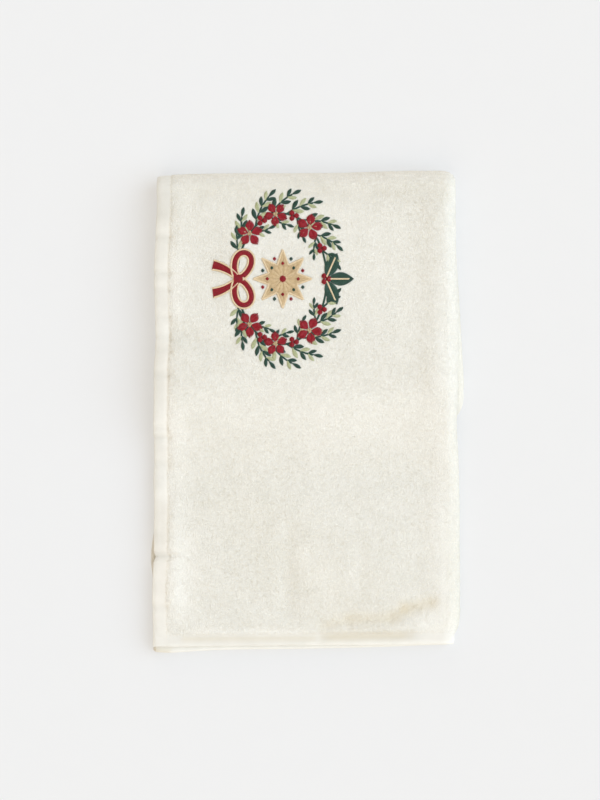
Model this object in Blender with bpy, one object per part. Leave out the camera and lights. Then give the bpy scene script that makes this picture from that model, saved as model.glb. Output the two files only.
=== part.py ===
"""Folded hand towel: one piece of terry velour, 406 x 711 mm (16 x 28 in).

The towel is first folded back and forth along its length into a flat stack of four levels, with a
hemmed end and a narrow fold on the left and a fat round fold on the right. The stack is then turned
under itself at its far end, so that eight levels lie there and four at the near end.

Frame: X to the right, Y to the far end, Z up. The origin is the bottom centre of the box.
"""

import math
from collections import namedtuple

import bmesh
import bpy
import numpy as np
from mathutils import Vector

# Driving dimensions, in metres
CLOTH_WIDTH = 0.406
CLOTH_THICK = 0.0022
LEVEL_GAP = 0.0004
HEM_THICK = 0.0014
RIM_THICK = 0.0008
GROOVE_THICK = 0.0011
RIM_DEPTH = 0.0006
END_HEM = 0.0080
SIDE_HEM = 0.0050
GROOVE = 0.0012
ROUND_FOLD_REACH = 0.0062
INNER_FOLD_SHIFT = 0.0016
TURN_RADIUS = 0.0002
SLOPE_LENGTH = 0.052
LOFT = 0.0010
LOFT_MARGIN = 0.014

# Levels of the stack, counted from the surface up
LEVEL_PITCH = CLOTH_THICK + LEVEL_GAP
LEVEL_1, LEVEL_2, LEVEL_3, LEVEL_4 = (CLOTH_THICK / 2 + level * LEVEL_PITCH for level in range(4))
STACK_HEIGHT = LEVEL_4 + CLOTH_THICK / 2
TURN_HEIGHT = STACK_HEIGHT + TURN_RADIUS
RAISED = STACK_HEIGHT + 2 * TURN_RADIUS

# Steps of the mesh
LEVEL_STEPS = 5
TOP_LEVEL_STEPS = 13
ROUND_FOLD_STEPS = 8
NARROW_FOLD_STEPS = 6
NEAR_STEPS = 17
TURN_STEPS = 8
UNDER_STEPS = 3

# Side edges of the upper panel, in mm: the far hemmed end, the narrow fold below it and the round fold
Side = namedtuple("Side", "y hem narrow_fold round_fold")
SIDES = (
    Side(-141.0, -90.4, -90.6, 86.6),
    Side(-136.0, -90.4, -90.6, 86.8),
    Side(-131.0, -90.3, -90.7, 87.4),
    Side(-126.0, -90.3, -90.9, 89.1),
    Side(-111.0, -90.3, -91.2, 90.0),
    Side(-97.0, -90.0, -91.9, 90.0),
    Side(-87.0, -89.2, -92.1, 89.9),
    Side(-77.0, -90.0, -91.9, 89.8),
    Side(-63.0, -89.8, -91.0, 89.8),
    Side(-52.0, -89.7, -88.9, 89.7),
    Side(-28.0, -89.0, -87.8, 89.1),
    Side(-9.0, -89.6, -88.2, 87.8),
    Side(13.0, -88.6, -87.2, 88.0),
    Side(42.0, -87.5, -86.0, 88.3),
    Side(60.0, -87.7, -86.2, 88.0),
    Side(80.0, -87.8, -86.4, 87.1),
    Side(108.0, -87.2, -85.8, 86.8),
    Side(124.0, -86.6, -85.2, 86.6),
    Side(132.0, -87.2, -85.4, 86.6),
)
LOWER_HEM_INSET = 0.0014

# The turned-under panel, in mm: how far out its round fold lies, by distance from the turn
Under = namedtuple("Under", "distance round_fold_out hem_in")
UNDER_SIDES = (
    Under(0.0, 0.0, 0.0),
    Under(30.0, 1.0, 1.0),
    Under(68.0, 3.0, 1.6),
    Under(88.0, 4.2, 1.6),
    Under(106.0, 5.3, 1.6),
    Under(150.0, 5.3, 1.6),
)

# Far and near edges, in mm: reach of the turn, edge of the lower three levels, edge of the top level
End = namedtuple("End", "x turn lower top")
ENDS = (
    End(-90.0, 138.2, -141.2, -137.9),
    End(-78.0, 138.9, -141.7, -138.0),
    End(-63.0, 139.2, -140.6, -137.8),
    End(-4.0, 139.6, -139.4, -137.2),
    End(20.0, 139.8, -138.9, -137.0),
    End(48.0, 140.7, -138.2, -136.9),
    End(68.0, 141.0, -137.3, -136.4),
    End(80.0, 140.9, -136.4, -135.8),
    End(92.0, 140.6, -135.6, -135.2),
)

# Soft ridges and troughs of the top level, in mm: a straight crest from one point to another
Swell = namedtuple("Swell", "x0 y0 x1 y1 half_width height")
SWELLS = (
    Swell(-70.0, 28.0, 74.0, 31.0, 15.0, 0.8),
    Swell(-80.0, -41.0, 78.0, -38.0, 9.0, -0.9),
    Swell(70.0, -37.0, 71.0, -36.0, 10.0, -0.5),
    Swell(-50.0, -90.0, 44.0, -88.0, 24.0, 1.3),
    Swell(-80.0, 47.0, -46.0, 39.0, 6.0, -0.9),
    Swell(-42.0, 66.0, -42.0, 106.0, 10.0, 0.8),
    Swell(82.0, 120.0, 84.0, -104.0, 7.0, 1.0),
    Swell(65.0, 118.0, 66.0, -100.0, 6.0, -0.6),
    Swell(-79.0, -58.0, -79.0, -110.0, 6.0, 0.7),
    Swell(-11.0, -68.0, -11.0, -120.0, 4.0, -0.7),
    Swell(31.0, -81.0, 31.0, -105.0, 4.0, -0.5),
    Swell(9.0, -126.0, 47.0, -122.0, 4.5, -0.9),
    Swell(47.0, -122.0, 78.0, -110.0, 4.5, -1.0),
)

MM = 0.001
CLOTH_COLOUR = (0.83, 0.81, 0.73, 1.0)
CLOTH_ROUGHNESS = 0.95
SHARP_ANGLE = math.radians(50)

# A point of the cloth's middle line in the stack: place, height, side of face A, thickness
Point = namedtuple("Point", "x height side thick")
# A step across the towel's width: which panel, and how far along it
Station = namedtuple("Station", "panel fraction from_hem thick")


def lookup(table, key, column, at):
    """A column of a table of millimetres, read between its rows, in metres."""
    keys = [getattr(row, key) for row in table]
    values = [getattr(row, column) for row in table]
    return float(np.interp(at / MM, keys, values)) * MM


def blend(t):
    """0 to 1, level at both ends."""
    t = min(max(t, 0.0), 1.0)
    return t * t * (3.0 - 2.0 * t)


def top_share(height):
    """1 in the top level, 0 in the three below it, and between them in the round fold."""
    return min(max((height - LEVEL_3) / LEVEL_PITCH, 0.0), 1.0)


def hem_rows(hem):
    """(distance from the edge, thickness) along a hem: rounded edge, flat band, stitch groove, cloth."""
    return (
        (0.0, RIM_THICK),
        (RIM_DEPTH, HEM_THICK),
        (hem - GROOVE, HEM_THICK),
        (hem, GROOVE_THICK),
        (hem + GROOVE, CLOTH_THICK),
    )


def run(x0, x1, height, steps, side):
    """Points of one level between two places, without the last one."""
    span = (x1 - x0) / steps
    return [Point(x0 + span * i, height, (0.0, side), CLOTH_THICK) for i in range(steps)]


def fold(centre, low, high, reach, turn, steps):
    """Points of a fold, from the level at low to the one at high. turn is +1 when face A is outside."""
    middle = (low + high) / 2
    half = (high - low) / 2
    out = math.copysign(1.0, reach)
    points = []
    for i in range(steps):
        angle = math.pi * i / steps
        place = (abs(reach) * math.sin(angle) * out, -half * math.cos(angle))
        normal = Vector((place[0] / reach**2, place[1] / half**2)).normalized() * turn
        points.append(Point(centre + place[0], middle + place[1], tuple(normal), CLOTH_THICK))
    return points


def section(hem, lower_hem, narrow, round_out):
    """The cloth's middle line across the stack, from the hem of the top level to the hem of level 3."""
    radius = LEVEL_PITCH / 2
    bend = round_out - ROUND_FOLD_REACH - CLOTH_THICK / 2
    inner = bend + INNER_FOLD_SHIFT
    crease = narrow + radius + CLOTH_THICK / 2
    rows = hem_rows(END_HEM)
    up = (0.0, 1.0)
    points = [Point(hem + distance, LEVEL_4, up, thick) for distance, thick in rows[:-1]]
    points += run(hem + rows[-1][0], bend, LEVEL_4, TOP_LEVEL_STEPS, 1.0)
    points += fold(bend, LEVEL_4, LEVEL_1, ROUND_FOLD_REACH, 1.0, ROUND_FOLD_STEPS)
    points += run(bend, crease, LEVEL_1, LEVEL_STEPS, -1.0)
    points += fold(crease, LEVEL_1, LEVEL_2, -radius, 1.0, NARROW_FOLD_STEPS)
    points += run(crease, inner, LEVEL_2, LEVEL_STEPS, 1.0)
    points += fold(inner, LEVEL_2, LEVEL_3, radius, -1.0, NARROW_FOLD_STEPS)
    points += run(inner, lower_hem + rows[-1][0], LEVEL_3, LEVEL_STEPS, -1.0)
    down = (0.0, -1.0)
    points += [Point(lower_hem + distance, LEVEL_3, down, thick) for distance, thick in rows[::-1]]
    return points


def near_edge(x, height):
    """Y of the near edge of the upper panel."""
    lower = lookup(ENDS, "x", "lower", x)
    top = lookup(ENDS, "x", "top", x)
    return lower + (top - lower) * top_share(height)


def turn_start(x):
    """Y of the axis that the stack is turned about."""
    return lookup(ENDS, "x", "turn", x) - TURN_RADIUS - STACK_HEIGHT


def under_edge(x, height):
    """Y of the edge of the turned-under panel: what is left of the width after the turn."""
    axis = turn_start(x)
    used = axis - near_edge(x, height) + math.pi * (TURN_RADIUS + height)
    return axis - (CLOTH_WIDTH - used)


def swell(x, y):
    """Lift of the top level over its bare stack."""
    reach = min(y - near_edge(x, LEVEL_4), turn_start(x) - y) / LOFT_MARGIN
    side = (x - lookup(SIDES, "y", "hem", y)) / LOFT_MARGIN
    lift = LOFT * blend(side)
    for row in SWELLS:
        start = Vector((row.x0, row.y0)) * MM
        crest = Vector((row.x1, row.y1)) * MM - start
        along = min(max((Vector((x, y)) - start).dot(crest) / crest.length_squared, 0.0), 1.0)
        distance = (Vector((x, y)) - start - crest * along).length / (row.half_width * MM)
        lift += row.height * MM * math.exp(-distance * distance)
    return max(lift, 0.0) * blend(reach)


def near_place(point, station):
    """Middle of the cloth in the upper panel, which slopes down from the turned-under end."""
    edge = near_edge(point.x, point.height)
    axis = turn_start(point.x)
    first = edge + station.from_hem
    y = first + (axis - first) * station.fraction
    drop = blend((under_edge(point.x, LEVEL_4) - y) / SLOPE_LENGTH)
    z = point.height + RAISED * (1.0 - drop) + swell(point.x, y) * top_share(point.height)
    return Vector((point.x, y, z)), Vector((0.0, 0.0, 1.0))


def turned_place(point, station):
    """Middle of the cloth in the turn itself, a half circle about its axis."""
    angle = math.pi * station.fraction
    radial = Vector((0.0, math.sin(angle), math.cos(angle)))
    axis = Vector((point.x, turn_start(point.x), TURN_HEIGHT))
    return axis + radial * (TURN_RADIUS + point.height), radial


def under_place(point, station):
    """Middle of the cloth in the turned-under panel, whose levels end in steps and sink onto them."""
    edge = under_edge(point.x, point.height)
    axis = turn_start(point.x)
    ramp = math.pi * (LEVEL_4 - point.height)
    flat_end = max(ramp, SIDE_HEM + 2 * GROOVE)
    if station.from_hem is None:
        y = axis + (edge + flat_end - axis) * station.fraction
    else:
        y = edge + station.from_hem
    sunk = max(ramp - (y - edge), 0.0) / math.pi
    z = STACK_HEIGHT - point.height - sunk
    return Vector((point.x, y, z)), Vector((0.0, 0.0, -1.0))


PLACES = {"near": near_place, "turn": turned_place, "under": under_place}


def stations():
    """Steps across the width: near hem, upper panel, turn, turned-under panel and its hem."""
    rows = hem_rows(SIDE_HEM)
    steps = [Station("near", 0.0, distance, thick) for distance, thick in rows[:-1]]
    last = rows[-1][0]
    steps += [Station("near", i / NEAR_STEPS, last, CLOTH_THICK) for i in range(NEAR_STEPS)]
    steps += [Station("turn", i / TURN_STEPS, 0.0, CLOTH_THICK) for i in range(TURN_STEPS)]
    steps += [Station("under", i / UNDER_STEPS, None, CLOTH_THICK) for i in range(UNDER_STEPS + 1)]
    steps += [Station("under", 1.0, distance, thick) for distance, thick in rows[::-1]]
    return steps


def side_places(station):
    """Where the hem, the lower hem, the narrow fold and the round fold lie at a station."""
    middle = Point(0.0, LEVEL_4, None, None)
    y = turn_start(0.0)
    distance = 0.0
    if station.panel == "near":
        y = near_place(middle, station)[0].y
    if station.panel == "under":
        distance = turn_start(0.0) - under_place(middle, station)[0].y
    hem, narrow, out = (lookup(SIDES, "y", name, y) for name in ("hem", "narrow_fold", "round_fold"))
    inset = lookup(UNDER_SIDES, "distance", "hem_in", distance)
    out += lookup(UNDER_SIDES, "distance", "round_fold_out", distance)
    return hem + inset, hem + inset + LOWER_HEM_INSET, narrow + inset, out


def faces_of_cloth(station):
    """Points of face A and of face B along one section."""
    face_a = []
    face_b = []
    for point in section(*side_places(station)):
        middle, up = PLACES[station.panel](point, station)
        offset = Vector((point.side[0], 0.0, 0.0)) + up * point.side[1]
        offset *= min(point.thick, station.thick) / 2
        face_a.append(middle + offset)
        face_b.append(middle - offset)
    return face_a, face_b


def add_towel_mesh():
    """Closed skin of the cloth: a ring of points for each station, bridged, and capped at the hems."""
    skin = bmesh.new()
    rings = []
    for station in stations():
        face_a, face_b = faces_of_cloth(station)
        rings.append([skin.verts.new(place) for place in face_a + face_b[::-1]])
    count = len(rings[0])
    for ring, following in zip(rings, rings[1:]):
        for i in range(count):
            j = (i + 1) % count
            skin.faces.new((ring[i], ring[j], following[j], following[i]))
    for ring in (rings[0], rings[-1]):
        for i in range(count // 2 - 1):
            skin.faces.new((ring[i], ring[i + 1], ring[count - 2 - i], ring[count - 1 - i]))
    bmesh.ops.recalc_face_normals(skin, faces=skin.faces)
    centre_on_base(skin)
    mesh = bpy.data.meshes.new("towel")
    skin.to_mesh(mesh)
    skin.free()
    mesh.shade_smooth()
    mesh.set_sharp_from_angle(angle=SHARP_ANGLE)
    return mesh


def centre_on_base(skin):
    """Moves the mesh so that the origin is the bottom centre of its box."""
    places = np.array([vertex.co for vertex in skin.verts])
    low = places.min(axis=0)
    high = places.max(axis=0)
    shift = Vector((-(low[0] + high[0]) / 2, -(low[1] + high[1]) / 2, -low[2]))
    bmesh.ops.translate(skin, vec=shift, verts=skin.verts)


def cloth_material():
    material = bpy.data.materials.new("ivory terry velour")
    material.use_nodes = True
    shader = material.node_tree.nodes["Principled BSDF"]
    shader.inputs["Base Color"].default_value = CLOTH_COLOUR
    shader.inputs["Roughness"].default_value = CLOTH_ROUGHNESS
    shader.inputs["Metallic"].default_value = 0.0
    return material


def clear_scene():
    for item in list(bpy.data.objects):
        bpy.data.objects.remove(item)


def main():
    clear_scene()
    mesh = add_towel_mesh()
    mesh.materials.append(cloth_material())
    towel = bpy.data.objects.new("towel", mesh)
    bpy.context.collection.objects.link(towel)


main()
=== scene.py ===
"""Folded ivory hand towel: sheared velour, stitched hems and an embroidered wreath.

The cloth is one sheet, folded back and forth into four levels and turned under at its far end. Its
pile, the sewing of its hems and every embroidery stitch are grown on it with Geometry Nodes.
Lengths are in metres, unless a table says that it is in millimetres.
"""

import math
from collections import namedtuple

import bpy
import numpy as np
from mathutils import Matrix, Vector


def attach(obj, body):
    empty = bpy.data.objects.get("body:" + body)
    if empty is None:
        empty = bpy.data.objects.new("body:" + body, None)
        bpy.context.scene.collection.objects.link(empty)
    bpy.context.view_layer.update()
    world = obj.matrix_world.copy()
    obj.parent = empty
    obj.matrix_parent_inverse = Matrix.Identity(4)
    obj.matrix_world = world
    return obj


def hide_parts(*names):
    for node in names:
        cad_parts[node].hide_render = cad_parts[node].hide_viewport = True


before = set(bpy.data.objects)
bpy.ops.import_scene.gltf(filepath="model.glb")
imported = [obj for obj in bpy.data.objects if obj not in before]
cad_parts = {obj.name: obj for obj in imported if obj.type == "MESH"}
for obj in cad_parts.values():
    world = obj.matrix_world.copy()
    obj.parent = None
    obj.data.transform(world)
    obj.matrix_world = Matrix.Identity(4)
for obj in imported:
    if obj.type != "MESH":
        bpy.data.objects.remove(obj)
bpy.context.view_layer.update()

MM = 0.001


def make_table(columns, *values):
    """A table: its rows, whose columns are named."""
    kind = namedtuple("Row", columns)
    return [kind(*row) for row in values]


# ---- the cloth's own sizes
CLOTH_WIDTH = 0.406
CLOTH_THICK = 0.0022
LEVEL_GAP = 0.0004
ROUND_FOLD_REACH = 0.0062
INNER_FOLD_SHIFT = 0.0016
TURN_RADIUS = 0.0002
SLOPE_LENGTH = 0.052
LOFT = 0.0010
LOFT_MARGIN = 0.014

# A hem. Its share, bulge and groove depth are parts of the cloth's thickness. It is bare of pile up to
# the distance "bare" from its edge
Hem = namedtuple("Hem", "width edge_radius share bulge groove_depth groove_width shoulder bare")
END_HEM = Hem(0.0080, 0.0030, 0.90, 0.06, 0.20, 0.0010, 0.0018, 0.0084)
SIDE_HEM = Hem(0.0055, 0.0012, 0.92, 0.14, 0.75, 0.0019, 0.0030, 0.0066)
THINNEST = 0.25
RIM_SHARE = 0.38
RIM_FULLNESS = 0.8
PILE_START = 0.0010
SEAM_SHADE = 0.07

LEVEL_PITCH = CLOTH_THICK + LEVEL_GAP
LEVEL_1, LEVEL_2, LEVEL_3, LEVEL_4 = (CLOTH_THICK / 2 + level * LEVEL_PITCH for level in range(4))
STACK_HEIGHT = LEVEL_4 + CLOTH_THICK / 2
TURN_HEIGHT = STACK_HEIGHT + TURN_RADIUS
RAISED = STACK_HEIGHT + 2 * TURN_RADIUS

# Side edges of the upper panel, in mm: the far hemmed end, the narrow fold below it and the round fold
SIDES = make_table(
    "y hem narrow_fold round_fold",
    (-141, -90.4, -90.5, 86.6),
    (-136, -90.4, -90.5, 86.8),
    (-131, -90.3, -90.4, 87.4),
    (-126, -90.3, -90, 89.1),
    (-111, -90.7, -90.1, 90),
    (-97, -90.5, -89.9, 90),
    (-91, -90.2, -91, 90),
    (-84, -89.9, -91.6, 89.9),
    (-77, -89.8, -91.3, 89.8),
    (-70, -89.8, -90.4, 89.8),
    (-63, -89.7, -89.2, 89.8),
    (-52, -89.5, -88.6, 89.7),
    (-38, -90, -88.2, 89.4),
    (-28, -89.5, -87.8, 89.1),
    (-9, -89.7, -88.2, 87.8),
    (13, -89.1, -87.2, 88),
    (24, -89.1, -86.9, 88.1),
    (42, -88.1, -86.4, 88.3),
    (60, -88.4, -86.7, 88),
    (80, -88.9, -86.8, 87.1),
    (108, -87.9, -86.2, 86.8),
    (124, -87.2, -85.6, 86.6),
    (132, -87.5, -85.6, 86.6),
)
LOWER_HEM_INSET = 0.0014

# The turned-under panel, in mm: how far its round fold stands out, by distance from the turn
UNDER_SIDES = make_table(
    "distance round_fold_out hem_in",
    (0, 0, 0),
    (30, 1, 1),
    (50, 2.4, 1.4),
    (68, 3.6, 1.6),
    (88, 4.9, 1.6),
    (106, 6, 1.6),
    (150, 6, 1.6),
)

# Far and near edges, in mm: reach of the turn, edge of the lower three levels, edge of the top level
ENDS = make_table(
    "x turn lower top",
    (-90, 137.9, -141.2, -137.9),
    (-86.5, 138.3, -141.5, -137.9),
    (-78, 138.7, -141.7, -138),
    (-63, 139.2, -140.6, -137.8),
    (-4, 139.6, -139.4, -137.2),
    (20, 139.8, -138.9, -137),
    (48, 140.7, -138.2, -136.9),
    (68, 141, -137.3, -136.4),
    (80, 140.9, -137, -136.3),
    (92, 140.6, -136.7, -136.1),
)

# Soft ridges and troughs of the top level, in mm: a straight crest from one point to another
SWELLS = make_table(
    "x0 y0 x1 y1 half_width height",
    (-70, 28, 74, 31, 15, 0.8),
    (-80, -41, 78, -38, 9, -0.9),
    (70, -37, 71, -36, 10, -0.5),
    (-50, -90, 44, -88, 24, 1.3),
    (-80, 47, -46, 39, 6, -0.9),
    (-42, 66, -42, 106, 10, 0.8),
    (75, 122, 75.5, 20, 8, 0.9),
    (78, 8, 79, -108, 9, 0.6),
    (-79, -58, -79, -110, 6, 0.7),
    (-11, -68, -11, -118, 5, -0.5),
    (31, -81, 31, -103, 5, -0.35),
    (9, -125.6, 22, -121.8, 4.4, -0.6),
    (26, -121.5, 47, -121.2, 4.6, -0.7),
    (52, -119.2, 56, -115.8, 4.4, -0.6),
    (61, -115.4, 72, -112.2, 4.2, -0.8),
    (30, -127, 66, -126.6, 3, 0.6),
)

# Puckers of the end hem, in mm: where the sewing has gathered the band. Shade lies in each crease and
# light on its upper lip, whose width and distance are in the crease's half widths
PUCKER_SHADE = 0.50
PUCKER_LIGHT = 0.45
LIP_WIDTH = 1.5
LIP_DISTANCE = 1.6
PUCKERS = make_table(
    "y depth half_width reach nip",
    (100.9, 0.65, 1.8, 2, 0.2),
    (80.1, 0.7, 1.7, 2, 0.2),
    (70.8, 0.5, 1.5, 1.5, 0.1),
    (54.5, 0.6, 1.6, 1.5, 0.1),
    (43.2, 0.6, 1.8, 1.5, 0.2),
    (35.6, 0.48, 2, 2, 0.2),
    (21, 0.6, 1.8, 2, 0),
    (-9.3, 0.6, 1, 1, 0.1),
    (-15.2, 0.85, 1.7, 2.5, 0.3),
    (-31, 0.5, 1.8, 2, 0.1),
    (-84.4, 1.1, 1.7, 3.5, 1.3),
    (-115, 0.5, 1.8, 2, 0.2),
)

# How hard the sewing pulls its groove in, by the place along a hem in mm
PULL_COLUMNS = "place pull"
SIDE_PULLS = make_table(
    PULL_COLUMNS,
    (-92, 0.2), (-60, 0.35), (-5, 0.45), (8, 1.0), (60, 1.0), (74, 0.35), (92, 0.2),
)
END_PULLS = make_table(
    PULL_COLUMNS,
    (-133, 0.15), (-86, 0.15), (-75, 0.35), (-34, 0.45), (-10, 0.75), (24, 0.75),
    (45, 0.6), (59, 0.3), (77, 0.55), (106, 0.5), (129, 0.3),
)
# Waves of that pull: length in mm and share
UNEVEN = ((3.7, 0.30), (5.9, 0.25), (13.7, 0.20))
SIDE_UNEVENNESS = 0.35

# A mark on the cloth, in mm: a straight line with soft edges
MARK_COLUMNS = "x0 y0 x1 y1 half_width strength"
# Painted light on the top level, above 0, and painted shade, below it
PAINTED_LIGHT_AND_SHADE = make_table(
    MARK_COLUMNS,
    (-78, -4, -78, -14, 9, 0.7),
    (-78, -38, -78, -50, 9, 0.35),
    (-77, -84, -77, -110, 14, 0.65),
    (-77, 86, -77, 60, 7, 0.45),
    (-82, 50, -82, -130, 1.6, 0.4),
    (-78, 44, -52, 38, 8, -0.2),
    (-50, 0, 60, 0, 14, 0.2),
    (10, -6, 66, -8, 16, 0.2),
    (20, 100, 60, 60, 30, 0.1),
    (77, 40, 77, -112, 7, 0.3),
    (81, -20, 81, -125, 3.5, 0.35),
    (88, 128, 88, -128, 5, -0.12),
    (74, -126, 88, -124, 10, 0.6),
    (20, -62, 66, -62, 14, 0.08),
    (-2, -86, 14, -104, 7, 0.35),
    (-40, -97, -14, -97, 18, -0.14),
    (-60, 128, 80, 128, 8, -0.2),
    (-78, 141, 78, 141, 5, 0.8),
    (-86, 126, -86, 116, 6, -0.45),
    (-80, 134, -80, 116, 4, -0.4),
    (-86, -122, -86, -137, 5, 0.45),
    (-87, -50, -87, -66, 5, 0.4),
    (-87, -94, -87, -112, 5, 0.4),
    (-87, -14, -87, -18, 3.5, -0.22),
    (-87, -39, -87, -42, 3.5, -0.2),
    (-87.5, -84.8, -82, -84.6, 1.4, -0.5),
    (-66, -129, 0, -128.6, 1.8, 0.45),
    (-80, -137.6, -4, -137, 1.6, 0.55),
    (0, -137, 84, -135.8, 1.6, 0.9),
    (11, -132.3, 60, -131.5, 2, -0.7),
    (-72, -133.3, 4, -132.8, 1.5, -0.32),
    (58, -115.4, 74, -111.8, 3.4, -0.3),
    (-40, -55, 20, -115, 24, -0.06),
)
# Warm shade in creases of the top level
PAINTED_WARM_SHADE = make_table(
    MARK_COLUMNS,
    (9, -132.4, 61, -131.5, 2.2, 0.18),
    (14, -132.2, 56, -131.4, 2.2, 0.13),
    (-72, -133.3, 4, -132.8, 1.7, 0.21),
    (10, -125.4, 22, -121.8, 3.4, 0.14),
    (26, -121.5, 48, -121.2, 3.6, 0.22),
    (52, -119.6, 56, -115.6, 4.2, 0.22),
    (58, -115.6, 74, -111.8, 3.6, 0.28),
    (-40, -55, 20, -115, 24, 0.05),
    (-60, 130, 80, 130, 8, 0.04),
    (89, 130, 89, -132, 5, 0.2),
)
# The same painted light and shade, and painted warm shade, for the folds, the levels below and the
# turned-under panel, where they stick out
PAINTED_LIGHT_AND_SHADE_BELOW = make_table(
    MARK_COLUMNS,
    (-78, -141, 84, -136, 4, 0.9),
    (-92, -70, -92, -90, 3, 0.9),
    (94, 44, 94, 4, 4, 0.6),
)
PAINTED_WARM_SHADE_BELOW = make_table(
    MARK_COLUMNS,
    (-92, -141, -82, -141.4, 2.6, 0.3),
    (-92, -70, -92, -90, 3, 0.12),
    (90, 136, 90, -136, 5, 0.16),
)

# Steps of the cloth's mesh. Those of a hem's groove and shoulder are in widths of it, from the sewing
EDGE_STEPS = 4
BAND_STEPS = 5
BAND_END = -2.2
GROOVE_STEPS = (-1.2, -0.5, 0.0, 0.5, 1.2)
SHOULDER_STEPS = (1.0, 1.6)
TOP_LEVEL_STEPS = 104
LEVEL_STEPS = 14
ROUND_FOLD_STEPS = 18
NARROW_FOLD_STEPS = 8
NEAR_STEPS = 150
TURN_STEPS = 22
UNDER_STEPS = 14
RAMP_STEPS = 4
# Share of those steps whose pile belongs to the near piece
NEAR_SHARE = 0.46
# Height over the surface at which pile starts to grow, and over which it thickens
PILE_CLEARANCE = 0.0013
PILE_FADE = 0.0012


# ---- reading tables
def read(table, key, column, at):
    """A column of a table in millimetres, read along a smooth curve through its rows, in metres."""
    keys = np.array([getattr(row, key) for row in table]) * MM
    values = np.array([getattr(row, column) for row in table]) * MM
    slopes = np.gradient(values, keys)
    at = np.clip(at, keys[0], keys[-1])
    row = np.clip(np.searchsorted(keys, at) - 1, 0, len(keys) - 2)
    span = keys[row + 1] - keys[row]
    t = (at - keys[row]) / span
    ease = t * t * (3.0 - 2.0 * t)
    start = slopes[row] * span * t * (1.0 - t) ** 2
    end = slopes[row + 1] * span * t * t * (t - 1.0)
    return values[row] * (1.0 - ease) + values[row + 1] * ease + start + end


def blend(t):
    """0 to 1, level at both ends."""
    t = np.clip(t, 0.0, 1.0)
    return t * t * (3.0 - 2.0 * t)


def bell(t):
    """1 at 0, fading out softly on both sides of it."""
    return np.exp(-t * t)


def top_share(height):
    """1 in the top level, 0 in the three below it, and between them in the round fold."""
    return np.clip((height - LEVEL_3) / LEVEL_PITCH, 0.0, 1.0)


def near_edge(x, height):
    """Y of the near edge of the upper panel."""
    lower = read(ENDS, "x", "lower", x)
    return lower + (read(ENDS, "x", "top", x) - lower) * top_share(height)


def turn_axis(x):
    """Y of the axis that the stack is turned about."""
    return read(ENDS, "x", "turn", x) - TURN_RADIUS - STACK_HEIGHT


def under_edge(x, height):
    """Y of the edge of the turned-under panel: what is left of the width after the turn."""
    axis = turn_axis(x)
    used = axis - near_edge(x, height) + math.pi * (TURN_RADIUS + height)
    return axis - (CLOTH_WIDTH - used)


def soft_line(row, x, y):
    """1 on a table row's straight crest, fading out softly over its half width."""
    start = np.array((row.x0, row.y0)) * MM
    crest = np.array((row.x1, row.y1)) * MM - start
    along = ((x - start[0]) * crest[0] + (y - start[1]) * crest[1]) / (crest @ crest)
    along = np.clip(along, 0.0, 1.0)
    distance = np.hypot(x - start[0] - crest[0] * along, y - start[1] - crest[1] * along)
    return bell(distance / (row.half_width * MM))


def hem_edge(y):
    """X of the top hem's edge, nipped in at its puckers."""
    edge = read(SIDES, "y", "hem", y)
    for row in PUCKERS:
        edge = edge + row.nip * MM * bell((y - row.y * MM) / (row.half_width * MM))
    return edge


def pucker(x, y):
    """Dip of the end hem where its sewing has gathered it."""
    dip = 0.0
    in_from_edge = x - hem_edge(y)
    for row in PUCKERS:
        across = (y - row.y * MM) / (row.half_width * MM)
        beyond = np.maximum(in_from_edge - END_HEM.width, 0.0) / (row.reach * MM)
        dip = dip + row.depth * MM * np.exp(-across * across - beyond * beyond)
    return dip


def pucker_light(x, y):
    """Light that a pucker's upper lip catches on the band, and the shade in its crease, below 0."""
    light = 0.0
    beyond = np.maximum(x - hem_edge(y) - END_HEM.width, 0.0) / END_HEM.groove_width
    for row in PUCKERS:
        crease = (y - row.y * MM) / (row.half_width * MM)
        lip = crease / LIP_WIDTH - LIP_DISTANCE
        light = light + row.depth * (PUCKER_LIGHT * bell(lip) - PUCKER_SHADE * bell(crease))
    return light * bell(beyond)


def marked(table, x, y):
    """Strength of a table's marks at each place."""
    strength = 0.0
    for row in table:
        strength = strength + row.strength * soft_line(row, x, y)
    return strength


def swell(x, y):
    """Lift of the top level over its bare stack."""
    reach = np.minimum(y - near_edge(x, LEVEL_4), turn_axis(x) - y) / LOFT_MARGIN
    lift = LOFT * blend((x - read(SIDES, "y", "hem", y)) / LOFT_MARGIN)
    for row in SWELLS:
        lift = lift + row.height * MM * soft_line(row, x, y)
    return np.maximum(lift, 0.0) * blend(reach) - pucker(x, y)


# ---- the stack's section
def hem_distances(hem):
    """Distances from an edge across its hem and a little past it, close together where it curves."""
    edge = [hem.edge_radius * (1.0 - math.cos(math.pi / 2 * i / EDGE_STEPS)) for i in range(EDGE_STEPS)]
    band = np.linspace(hem.edge_radius, hem.width + BAND_END * hem.groove_width, BAND_STEPS)
    groove = hem.width + hem.groove_width * np.array(GROOVE_STEPS)
    shoulder = hem.width + hem.shoulder * np.array(SHOULDER_STEPS)
    return np.concatenate((edge, band, groove, shoulder))


def pulled(table, along, unevenness=1.0):
    """How hard the sewing pulls at places along a hem."""
    waves = 1.0
    for length, share in UNEVEN:
        waves = waves + unevenness * share * np.sin(2.0 * math.pi * along / (length * MM))
    return read(table, "place", "pull", along) / MM * waves


def hem_thickness(distance, hem, pull):
    """Share of the cloth's thickness at a distance from its edge, where the sewing pulls as given."""
    edge = np.clip(distance / hem.edge_radius, 0.0, 1.0)
    rounded = RIM_SHARE + (1.0 - RIM_SHARE) * np.sin(math.pi / 2 * edge) ** RIM_FULLNESS
    body = hem.share + (1.0 - hem.share) * blend((distance - hem.width) / hem.shoulder)
    bulge = hem.bulge * np.sin(math.pi * np.clip(distance / hem.width, 0.0, 1.0))
    groove = hem.groove_depth * pull * bell((distance - hem.width) / hem.groove_width)
    return rounded * np.maximum(body + bulge - groove, THINNEST)


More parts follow.
